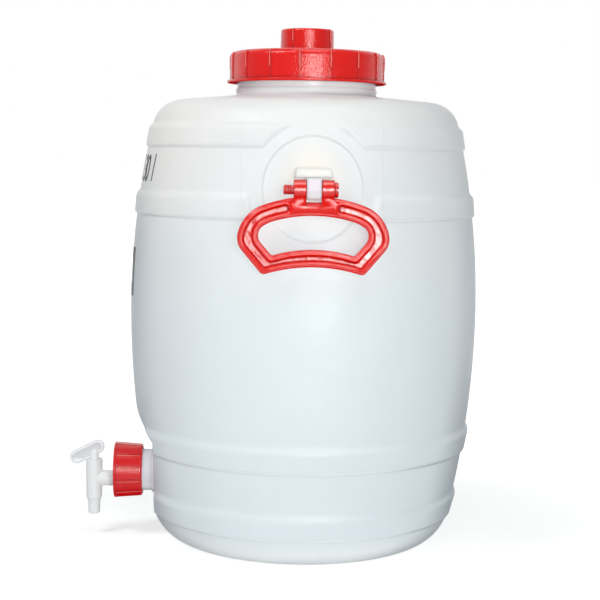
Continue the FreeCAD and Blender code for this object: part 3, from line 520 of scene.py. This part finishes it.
def drum_colour(material):
    """Natural polyethylene: milky, with painted light: paler at the neck, pink or lilac from painted red
    light where it stands next to red plastic, warm painted light round the lug roots, and painted light and
    shade on its sides.
    """
    tree = material.node_tree
    place = object_place(tree)
    x, y, z = axes_of(tree, place)
    out = arithmetic(tree, "ABSOLUTE", y)
    glance = tree.nodes.new("ShaderNodeLayerWeight")
    socket(glance, "Blend", 0.5)
    facing = glance.outputs["Facing"]
    neck = band(tree, z, NECK_ZONE)
    boss = product(tree, band(tree, x, BOSS_ZONE_X), band(tree, z, BOSS_ZONE_Z))
    stem = product(tree, band(tree, x, STEM_ZONE_X), band(tree, out, STEM_ZONE_Y))
    stem = product(tree, stem, band(tree, z, STEM_ZONE_Z))
    colour = milk(tree, place, z)
    # Painted light: the neck is made paler and faintly pink.
    colour = tint(tree, colour, neck, 1.0, NECK_PAINTED_LIGHT)
    # Painted red light from the nut: the boss is tinted lilac.
    colour = tint(tree, colour, boss, 1.0, BOSS_PAINTED_BOUNCE)
    # Painted warm light round the lug roots.
    colour = tint(tree, colour, lug_warm_light_mask(tree, x, out, z), 0.75, LUG_PAINTED_WARM_LIGHT)
    # Painted red light from the handle's ears: the lug stem is tinted pink.
    colour = tint(tree, colour, stem, 0.9, STEM_PAINTED_BOUNCE)
    colour = shade_sides(tree, colour, x, z, facing)
    # Painted shade at the neck's limbs, in a dark pink.
    neck_limb = product(tree, eased(tree, facing, *NECK_LIMB_TURN), neck)
    colour = tint(tree, colour, neck_limb, 0.7, NECK_LIMB_PAINTED_SHADE)
    shader = tree.nodes["Principled BSDF"]
    tree.links.new(colour, shader.inputs["Base Color"])
    socket(shader, "Specular IOR Level", 0.36)
    dull = shader.inputs["Roughness"].links[0].from_socket
    share = inverse(tree, product(tree, neck, 0.5))
    tree.links.new(product(tree, dull, share), shader.inputs["Roughness"])


def web_painted_shade(material):
    """White plastic, with painted shade greying the thin, recessed web of the lever blade."""
    tree = material.node_tree
    y, z = axes_of(tree, object_place(tree))[1:]
    thin = eased_mm(tree, arithmetic(tree, "ABSOLUTE", y), WEB_SIDE)
    high = eased_mm(tree, z, WEB_HEIGHT)
    shader = tree.nodes["Principled BSDF"]
    plain = tree.nodes.new("ShaderNodeRGB")
    plain.outputs[0].default_value = shader.inputs["Base Color"].default_value
    colour = tint(tree, plain.outputs[0], product(tree, thin, high), 1.0, WEB_PAINTED_SHADE)
    tree.links.new(colour, shader.inputs["Base Color"])


# Materials
polyethylene = plastic(
    "natural_polyethylene",
    MILK,
    {"Clean": 0.34, "Dull": 0.46},
    4.0 * MM,
    {
        "Grain Scale": 900,
        "Grain Height": 0.008,
        "Wave Scale": 25,
        "Wave Height": 1.0,
        "Streak Height": 0.03,
    },
    (0.5, 4.0 * MM),
    let_through=0.8,
)
drum_colour(polyethylene)
RED_SKIN = {
    "Grain Scale": 640,
    "Grain Height": 1.0,
    "Wave Scale": 60,
    "Wave Height": 0.3,
    "Streak Scale": (10, 10, 520),
    "Streak Height": 0.45,
}
lid_red = plastic(
    "red_plastic",
    (0.84, 0.006, 0.003),
    {"Clean": 0.12, "Dull": 0.22, "Scale": 30},
    0.3 * MM,
    RED_SKIN,
    (1.0, 0.4 * MM),
)
nut_red = plastic(
    "nut_red",
    (0.72, 0.008, 0.012),
    {"Clean": 0.14, "Dull": 0.28, "Scale": 30},
    0.3 * MM,
    RED_SKIN,
    (1.0, 0.25 * MM),
)
# A paler red for the rib crests: a painted highlight.
crest_painted_highlight = plastic(
    "crest_painted_highlight",
    (0.95, 0.17, 0.14),
    {"Clean": 0.12, "Dull": 0.2, "Scale": 30},
    0.1 * MM,
    {"Grain Scale": 420, "Grain Height": 0.3, "Wave Scale": 60, "Wave Height": 0.3},
    (0.2, 0.2 * MM),
)
handle_red = plastic(
    "handle_red",
    (0.82, 0.008, 0.005),
    {"Clean": 0.11, "Dull": 0.2, "Scale": 40},
    1.8 * MM,
    {"Grain Scale": 400, "Grain Height": 0.05, "Wave Scale": 90, "Wave Height": 1.0},
    (1.0, 0.8 * MM),
    roundness=0.5,
    let_through=0.85,
)
rim_red = plastic(
    "rim_red",
    (0.82, 0.008, 0.005),
    {"Clean": 0.1, "Dull": 0.16, "Scale": 40},
    0.25 * MM,
    {"Grain Scale": 400, "Grain Height": 0.05, "Wave Scale": 90, "Wave Height": 1.0},
    (1.0, 0.3 * MM),
    let_through=0.85,
)
white = plastic(
    "white_plastic",
    (0.9, 0.91, 0.92),
    {"Clean": 0.3, "Dull": 0.42},
    0.5 * MM,
    {"Grain Scale": 900, "Grain Height": 0.1, "Wave Scale": 60, "Wave Height": 1.0},
    (0.2, 0.3 * MM),
)
rubber = plastic(
    "seal_rubber",
    (0.75, 0.74, 0.71),
    {"Clean": 0.6, "Dull": 0.7},
    0.3 * MM,
    {"Grain Scale": 900, "Grain Height": 0.3, "Wave Scale": 60, "Wave Height": 0.5},
    (0.2, 0.3 * MM),
)
ink = plastic(
    "black_print",
    (0.018, 0.018, 0.02),
    {"Clean": 0.4, "Dull": 0.55, "Scale": 60},
    0.1 * MM,
    {"Grain Scale": 900, "Grain Height": 0.3, "Wave Scale": 60, "Wave Height": 0.5},
    (0.2, 0.1 * MM),
)
web_painted_shade(white)
for red, shade, shine in (
    (lid_red, LID_BOUNCE, 0.75),
    (nut_red, NUT_BOUNCE, 0.6),
    (handle_red, HANDLE_BOUNCE, 1.15),
    (rim_red, HANDLE_BOUNCE, 0.4),
):
    red_light(red, shade, shine)
FINISHES = {
    "natural_polyethylene": polyethylene,
    "red_plastic": lid_red,
    "white_plastic": white,
    "seal_rubber": rubber,
}
for part in frame["record"]["subparts"]:
    mesh = nodes_by_name[part["node"]].data
    mesh.materials.clear()
    finish = FINISHES[part["material_slot"]]
    if part["node"].startswith(("handle", "hinge")):
        finish = handle_red
    if part["node"] == "tap_nut":
        finish = nut_red
    mesh.materials.append(finish)



# Threads
def run_out(piece, ring, share, root):
    """Sink one ring of a thread towards its root, where the thread runs in or out."""
    corners = piece.data.vertices[ring * 4].co
    angle = math.atan2(corners.y, corners.x)
    centre = sum((piece.data.vertices[ring * 4 + i].co for i in range(4)), Vector()) / 4
    middle = (root * math.cos(angle), root * math.sin(angle), centre.z)
    first = ring * 4
    pick(piece, lambda vertex: first <= vertex.index < first + 4)
    bpy.ops.transform.resize(value=(share, share, share), center_override=middle)
    bpy.ops.object.mode_set(mode="OBJECT")


def wind_thread(root, crest, half_root, half_crest, lead, turns, start):
    """A trapezoid thread wound about Z, run out at both ends and closed."""
    root, crest, half_root, half_crest, lead, start = (
        v * MM for v in (root, crest, half_root, half_crest, lead, start)
    )
    deselect_all()
    bpy.ops.mesh.primitive_plane_add(
        size=1,
        location=((root + crest) / 2, 0, start),
        rotation=(math.pi / 2, 0, 0),
    )
    piece = bpy.context.object
    piece.scale = (abs(crest - root), 2 * half_root, 1)
    settle(piece)
    pick(piece, lambda vertex: abs(vertex.co.x - crest) < 0.01 * MM)
    bpy.ops.transform.resize(value=(1, 1, half_crest / half_root), center_override=(crest, 0, start))
    bpy.ops.object.mode_set(mode="OBJECT")
    steps = int(STEPS_PER_TURN * turns)
    apply_modifier(
        piece,
        "SCREW",
        axis="Z",
        angle=2 * math.pi * turns,
        screw_offset=lead * turns,
        steps=steps,
        render_steps=steps,
        use_normal_calculate=True,
    )
    rings = len(piece.data.vertices) // 4
    for step in range(RUN_OUT_STEPS):
        share = (step + 0.2) / RUN_OUT_STEPS
        run_out(piece, step, share, root)
        run_out(piece, rings - 1 - step, share, root)
    take(piece)
    bpy.ops.object.mode_set(mode="EDIT")
    bpy.ops.mesh.select_all(action="SELECT")
    bpy.ops.mesh.fill_holes(sides=0)
    bpy.ops.object.mode_set(mode="OBJECT")
    face_outwards(piece)
    take(piece)
    bpy.ops.object.shade_smooth_by_angle(angle=math.radians(35))
    return piece


def turn_onto_boss(piece):
    """Turn a thread wound about Z so that its Z points out of the tap."""
    piece.rotation_euler = (0, -math.pi / 2, 0)
    piece.location = (0, 0, BOSS_HEIGHT * MM)
    settle(piece)


THREADS = (
    ("neck_thread", NECK_THREAD, polyethylene, "drum", "natural_polyethylene", False),
    ("lid_thread", LID_THREAD, lid_red, "lid", "red_plastic", False),
    ("spout_thread", SPOUT_THREAD, lid_red, "lid", "red_plastic", False),
    ("vent_cap_thread", CAP_THREAD, lid_red, "vent_cap", "red_plastic", False),
    ("boss_thread", BOSS_THREAD, polyethylene, "drum", "natural_polyethylene", True),
    ("tap_nut_thread", NUT_THREAD, nut_red, "tap_nut", "red_plastic", True),
)
for name, sizes, material, body, slot, on_boss in THREADS:
    thread = wind_thread(*sizes)
    if on_boss:
        turn_onto_boss(thread)
    finish_piece(thread, name, material, body)

for side, body in ((-1, "front_handle"), (1, "back_handle")):
    tip = wind_thread(*TIP_THREAD)
    tip.rotation_euler = (0, side * math.pi / 2, 0)
    tip.location = (0, side * PIN_DISTANCE * MM, PIN_HEIGHT * MM)
    settle(tip)
    finish_piece(tip, "screw_tip_thread_" + body, handle_red, body)


# Lines left by the mould
def section_of(node, plane_point, plane_normal):
    """The wires where a plane cuts the skin of a node."""
    copy = bpy.data.objects.new("cut", nodes_by_name[node].data.copy())
    bpy.context.scene.collection.objects.link(copy)
    take(copy)
    bpy.ops.object.mode_set(mode="EDIT")
    bpy.ops.mesh.select_all(action="SELECT")
    bpy.ops.mesh.remove_doubles(threshold=0.005 * MM)
    bpy.ops.mesh.select_all(action="SELECT")
    bpy.ops.mesh.bisect(plane_co=plane_point, plane_no=plane_normal, clear_inner=True, clear_outer=True)
    bpy.ops.object.mode_set(mode="OBJECT")
    return copy


def bead_along(wires, keep, radius):
    """A fine round bead along the kept part of the wires, half sunk in the skin."""
    pick(wires, lambda vertex: not keep(vertex.co))
    bpy.ops.mesh.delete(type="VERT")
    bpy.ops.object.mode_set(mode="OBJECT")
    wires.data.materials.clear()
    bpy.ops.object.convert(target="CURVE")
    bead = bpy.context.object
    bead.data.bevel_depth = radius
    bead.data.bevel_resolution = 1
    bead.data.use_fill_caps = True
    bpy.ops.object.convert(target="MESH")
    bead = bpy.context.object
    take(bead)
    bpy.ops.object.shade_smooth()
    return bead


def skin_test(wires, across):
    """A test for points on the outer skin: within the skin depth of the widest point at that height."""
    widest = {}
    for vertex in wires.data.vertices:
        level = (round(vertex.co.z / (2 * MM)), vertex.co[across] > 0)
        widest[level] = max(widest.get(level, 0.0), abs(vertex.co[across]))

    def on_skin(point):
        level = (round(point.z / (2 * MM)), point[across] > 0)
        return abs(point[across]) > widest[level] - SKIN_DEPTH * MM

    return on_skin


seam_wires = section_of("drum_body", (0, 0, 0), (0, 1, 0))
on_skin = skin_test(seam_wires, 0)


def on_seam(point):
    inside = SEAM_BOTTOM * MM < point.z < SEAM_TOP * MM
    beside_boss = point.x < 0 and BOSS_CLEAR[0] * MM < point.z < BOSS_CLEAR[1] * MM
    return inside and not beside_boss and on_skin(point)


seam = bead_along(seam_wires, on_seam, SEAM_RADIUS * MM)
for vertex in seam.data.vertices:
    vertex.co.x = min(vertex.co.x, cad_box[1][0])
finish_piece(seam, "parting_line", polyethylene, "drum")

for side in (-1, 1):
    insert_wires = section_of("drum_body", (side * INSERT_HALF_WIDTH * MM, 0, 0), (1, 0, 0))
    on_side_skin = skin_test(insert_wires, 1)
    line = bead_along(
        insert_wires,
        lambda point: INSERT_BOTTOM * MM < point.z < INSERT_TOP * MM and on_side_skin(point),
        INSERT_RADIUS * MM,
    )
    name = "insert_line_left" if side < 0 else "insert_line_right"
    finish_piece(line, name, polyethylene, "drum")


# Crests of the grip ribs, in a paler red that paints their highlight
def rib_crests(name, node, count, turn, axis, keep, radius, material, body):
    """One bead along the crest of a rib, copied around the axis to every rib."""
    along, centre = axis
    side = Matrix.Rotation(turn, 4, along)
    direction = side @ (Vector((0, 1, 0)) if along == "X" else Vector((1, 0, 0)))
    normal = direction.cross(Vector((1, 0, 0)) if along == "X" else Vector((0, 0, 1)))
    wires = section_of(node, centre, normal)
    middle = Vector(centre)
    bead = bead_along(wires, lambda point: (point - middle).dot(direction) > 0 and keep(point), radius * MM)
    beads = [bead]
    for index in range(1, count):
        copy = bead.copy()
        copy.data = bead.data.copy()
        bpy.context.scene.collection.objects.link(copy)
        step = Matrix.Rotation(2 * math.pi * index / count, 4, along)
        copy.matrix_world = Matrix.Translation(middle) @ step @ Matrix.Translation(-middle)
        settle(copy)
        beads.append(copy)
    deselect_all()
    for copy in beads:
        copy.select_set(True)
    bpy.context.view_layer.objects.active = bead
    bpy.ops.object.join()
    finish_piece(bead, name, material, body)


rib_crests(
    "lid_rib_crests",
    "lid",
    16,
    math.radians(14.9),
    ("Z", (0, 0, 0)),
    lambda point: point.z > 442.5 * MM and math.hypot(point.x, point.y) > 72.2 * MM,
    0.5,
    crest_painted_highlight,
    "lid",
)
rib_crests(
    "vent_cap_rib_crests",
    "vent_cap",
    4,
    math.radians(55.6),
    ("Z", (0, 0, 0)),
    lambda point: point.z > 469.5 * MM and math.hypot(point.x, point.y) > 25.0 * MM,
    0.45,
    crest_painted_highlight,
    "vent_cap",
)
rib_crests(
    "tap_nut_rib_crests",
    "tap_nut",
    12,
    math.radians(17.0),
    ("X", (0, 0, BOSS_HEIGHT * MM)),
    lambda point: point.x > -179 * MM and math.hypot(point.y, point.z - BOSS_HEIGHT * MM) > 24.2 * MM,
    0.42,
    crest_painted_highlight,
    "tap_nut",
)


# Crowned rims of the handles
def rim_crown(handle, facing, body):
    """The flat top of a handle's rims, raised to a narrow crown between sloping flanks."""
    crown_piece = bpy.data.objects.new("handle_rim_crown", nodes_by_name[handle].data.copy())
    bpy.context.scene.collection.objects.link(crown_piece)
    take(crown_piece)
    bpy.ops.object.mode_set(mode="EDIT")
    bpy.ops.mesh.select_all(action="SELECT")
    bpy.ops.mesh.remove_doubles(threshold=0.005 * MM)
    bpy.ops.mesh.select_mode(type="FACE")
    bpy.ops.mesh.select_all(action="DESELECT")
    bpy.ops.object.mode_set(mode="OBJECT")
    for face in crown_piece.data.polygons:
        flat = face.normal.y * facing > 0.999
        face.select = not (flat and abs(abs(face.center.y) - RIM_TOP * MM) < 0.05 * MM)
    bpy.ops.object.mode_set(mode="EDIT")
    bpy.ops.mesh.delete(type="FACE")
    bpy.ops.mesh.select_all(action="SELECT")
    bpy.ops.mesh.inset(thickness=CROWN_FLANK * MM)
    bpy.ops.transform.translate(value=(0, facing * CROWN_RISE * MM, 0))
    bpy.ops.object.mode_set(mode="OBJECT")
    settle(crown_piece)
    bpy.ops.object.shade_smooth_by_angle(angle=math.radians(20))
    finish_piece(crown_piece, "rim_crown_" + body, rim_red, body)


for handle, facing, body in (("handle_front", -1, "front_handle"), ("handle_back", 1, "back_handle")):
    rim_crown(handle, facing, body)


# Ejector marks in the handle grooves
for facing, body in ((-1, "front_handle"), (1, "back_handle")):
    for side in (-1, 1):
        deselect_all()
        bpy.ops.mesh.primitive_torus_add(
            location=(side * EJECTOR_SIDE * MM, facing * GROOVE_FLOOR * MM, (PIN_HEIGHT - EJECTOR_DROP) * MM),
            rotation=(math.pi / 2, 0, 0),
            major_radius=EJECTOR_RADIUS * MM,
            minor_radius=EJECTOR_BEAD * MM,
            major_segments=32,
            minor_segments=8,
        )
        mark = bpy.context.object
        settle(mark)
        bpy.ops.object.shade_smooth()
        name = "ejector_mark_%s_%s" % (body, "left" if side < 0 else "right")
        finish_piece(mark, name, handle_red, body)


# Print
def lay_on_drum(print_piece):
    """Lay a flat print, made to face the tap side, on the drum's skin."""
    take(print_piece)
    bpy.ops.object.mode_set(mode="EDIT")
    bpy.ops.mesh.select_all(action="SELECT")
    bpy.ops.mesh.subdivide(number_cuts=3)
    bpy.ops.object.mode_set(mode="OBJECT")
    apply_modifier(
        print_piece,
        "SHRINKWRAP",
        target=nodes_by_name["drum_body"],
        wrap_method="PROJECT",
        use_project_x=True,
        use_positive_direction=True,
        use_negative_direction=False,
        offset=PRINT_LIFT * MM,
    )


def print_field(left, right, bottom, top, line=0.0):
    """A flat field on the drum, or with a line width its outline alone."""
    deselect_all()
    bpy.ops.mesh.primitive_plane_add(
        size=1,
        location=(-PRINT_STANDOFF * MM, (left + right) / 2 * MM, (bottom + top) / 2 * MM),
        rotation=(math.pi / 2, 0, -math.pi / 2),
    )
    field = bpy.context.object
    field.scale = ((right - left) * MM, (top - bottom) * MM, 1)
    settle(field)
    bpy.ops.object.mode_set(mode="EDIT")
    bpy.ops.mesh.select_mode(type="FACE")
    bpy.ops.mesh.select_all(action="SELECT")
    if line:
        bpy.ops.mesh.inset(thickness=line * MM)
        bpy.ops.mesh.delete(type="FACE")
    bpy.ops.mesh.select_all(action="SELECT")
    bpy.ops.mesh.subdivide(number_cuts=5)
    lay_on_drum(field)
    return field


deselect_all()
bpy.ops.object.text_add(
    location=(-PRINT_STANDOFF * MM, NUMERAL_START * MM, NUMERAL_BASE * MM),
    rotation=(math.pi / 2, 0, -math.pi / 2),
)
numeral = bpy.context.object
numeral.data.body = "30"
numeral.data.size = NUMERAL_HEIGHT / LETTER_HEIGHT_SHARE * MM
numeral.data.space_character = NUMERAL_SPACING
numeral.data.offset = NUMERAL_WEIGHT * MM
bpy.ops.object.convert(target="MESH")
numeral = bpy.context.object
numeral.scale = (NUMERAL_NARROWING, 1, 1)
settle(numeral)
lay_on_drum(numeral)
finish_piece(numeral, "capacity_numeral", ink, "drum")

for name, sides in (
    ("capacity_bar", (BAR_PLACE - BAR_WIDTH, BAR_PLACE, NUMERAL_BASE, NUMERAL_BASE + NUMERAL_HEIGHT)),
    ("upper_field", (*UPPER_FIELD, UPPER_LINE)),
    ("lower_field", (*LOWER_FIELD, LOWER_LINE)),
):
    finish_piece(print_field(*sides), name, ink, "drum")


# Camera, light and floor
def lamp(name, place, target, size, power, colour):
    data = bpy.data.lights.new(name, "AREA")
    data.shape = "RECTANGLE"
    data.size, data.size_y = size
    data.energy = power
    data.color = colour
    light = bpy.data.objects.new(name, data)
    bpy.context.scene.collection.objects.link(light)
    light.location = place
    aim = Vector(target) - Vector(place)
    light.rotation_euler = aim.to_track_quat("-Z", "Y").to_euler()


def camera():
    data = bpy.data.cameras.new("camera")
    data.lens = CAMERA_LENS
    data.sensor_width = 36
    data.clip_end = 100
    view = bpy.data.objects.new("camera", data)
    bpy.context.scene.collection.objects.link(view)
    turn = Matrix.Rotation(CAMERA_AZIMUTH, 4, "Z")
    place = turn @ Matrix.Translation((CAMERA_SIDE, -CAMERA_DISTANCE, CAMERA_HEIGHT))
    tilt = Matrix.Rotation(math.pi / 2 - CAMERA_PITCH, 4, "X")
    view.matrix_world = place @ tilt @ Matrix.Rotation(CAMERA_ROLL, 4, "Z")
    bpy.context.scene.camera = view


def background_seen(tree, behind=1.0):
    """One where the camera sees the background, or where a reflection or clear piece does behind it."""
    path = tree.nodes.new("ShaderNodeLightPath")
    seen = arithmetic(tree, "MAXIMUM", path.outputs["Is Glossy Ray"], path.outputs["Is Transmission Ray"])
    seen = arithmetic(tree, "MULTIPLY", seen, behind)
    return arithmetic(tree, "MAXIMUM", seen, path.outputs["Is Camera Ray"])


def studio_world():
    world = bpy.data.worlds.new("studio")
    bpy.context.scene.world = world
    world.use_nodes = True
    tree = world.node_tree
    dim = tree.nodes["Background"]
    socket(dim, "Color", (0.93, 0.97, 1.0, 1.0))
    socket(dim, "Strength", 0.275)
    bright = tree.nodes.new("ShaderNodeBackground")
    socket(bright, "Color", (1, 1, 1, 1))
    socket(bright, "Strength", 1.0)
    direction = axes_of(tree, tree.nodes.new("ShaderNodeTexCoord").outputs["Generated"])
    backdrop = eased(tree, direction[1], 0.15, 0.65)
    mix = tree.nodes.new("ShaderNodeMixShader")
    tree.links.new(background_seen(tree, backdrop), mix.inputs["Fac"])
    tree.links.new(dim.outputs[0], mix.inputs[1])
    tree.links.new(bright.outputs[0], mix.inputs[2])
    tree.links.new(mix.outputs[0], tree.nodes["World Output"].inputs["Surface"])


def studio_floor():
    deselect_all()
    bpy.ops.mesh.primitive_plane_add(size=24, location=(0, 8, 0))
    floor = bpy.context.object
    floor.name = "floor"
    paper = bpy.data.materials.new("white_paper")
    paper.use_nodes = True
    tree = paper.node_tree
    shader = tree.nodes["Principled BSDF"]
    socket(shader, "Base Color", (0.9, 0.9, 0.9, 1))
    socket(shader, "Roughness", 0.9)
    socket(shader, "Specular IOR Level", 0.0)
    glow = tree.nodes.new("ShaderNodeEmission")
    socket(glow, "Color", (1, 1, 1, 1))
    away = tree.nodes.new("ShaderNodeVectorMath")
    away.operation = "LENGTH"
    position = tree.nodes.new("ShaderNodeNewGeometry").outputs["Position"]
    tree.links.new(position, away.inputs[0])
    behind = eased(tree, axes_of(tree, position)[1], 0.1, 0.9)
    far = eased(tree, away.outputs["Value"], 0.2, 0.75)
    lit = arithmetic(tree, "MULTIPLY_ADD", far, FLOOR_GLOW_FAR - FLOOR_GLOW)
    lit.node.inputs[2].default_value = FLOOR_GLOW
    tree.links.new(product(tree, background_seen(tree, behind), lit), glow.inputs["Strength"])
    both = tree.nodes.new("ShaderNodeAddShader")
    tree.links.new(shader.outputs[0], both.inputs[0])
    tree.links.new(glow.outputs[0], both.inputs[1])
    tree.links.new(both.outputs[0], tree.nodes["Material Output"].inputs["Surface"])
    floor.data.materials.append(paper)


camera()
studio_world()
studio_floor()
lamp("front softbox", (0.28, -2.2, 0.45), (0, 0, 0.27), (0.8, 0.8), 12.4, (0.97, 1.0, 0.98))
lamp("strip softbox", (0.4, -2.15, 0.55), (0, 0, 0.35), (0.3, 0.8), 7.0, (0.97, 1.0, 0.98))
lamp("left softbox", (-1.0, -0.8, 1.6), (0, 0, 0.3), (0.5, 0.5), 9, (1.0, 0.99, 0.96))
lamp("top softbox", (0.22, -0.5, 2.0), (0, 0, 0.4), (0.75, 0.75), 6.0, (1.0, 0.98, 0.94))

bpy.context.scene.view_settings.view_transform = "Standard"
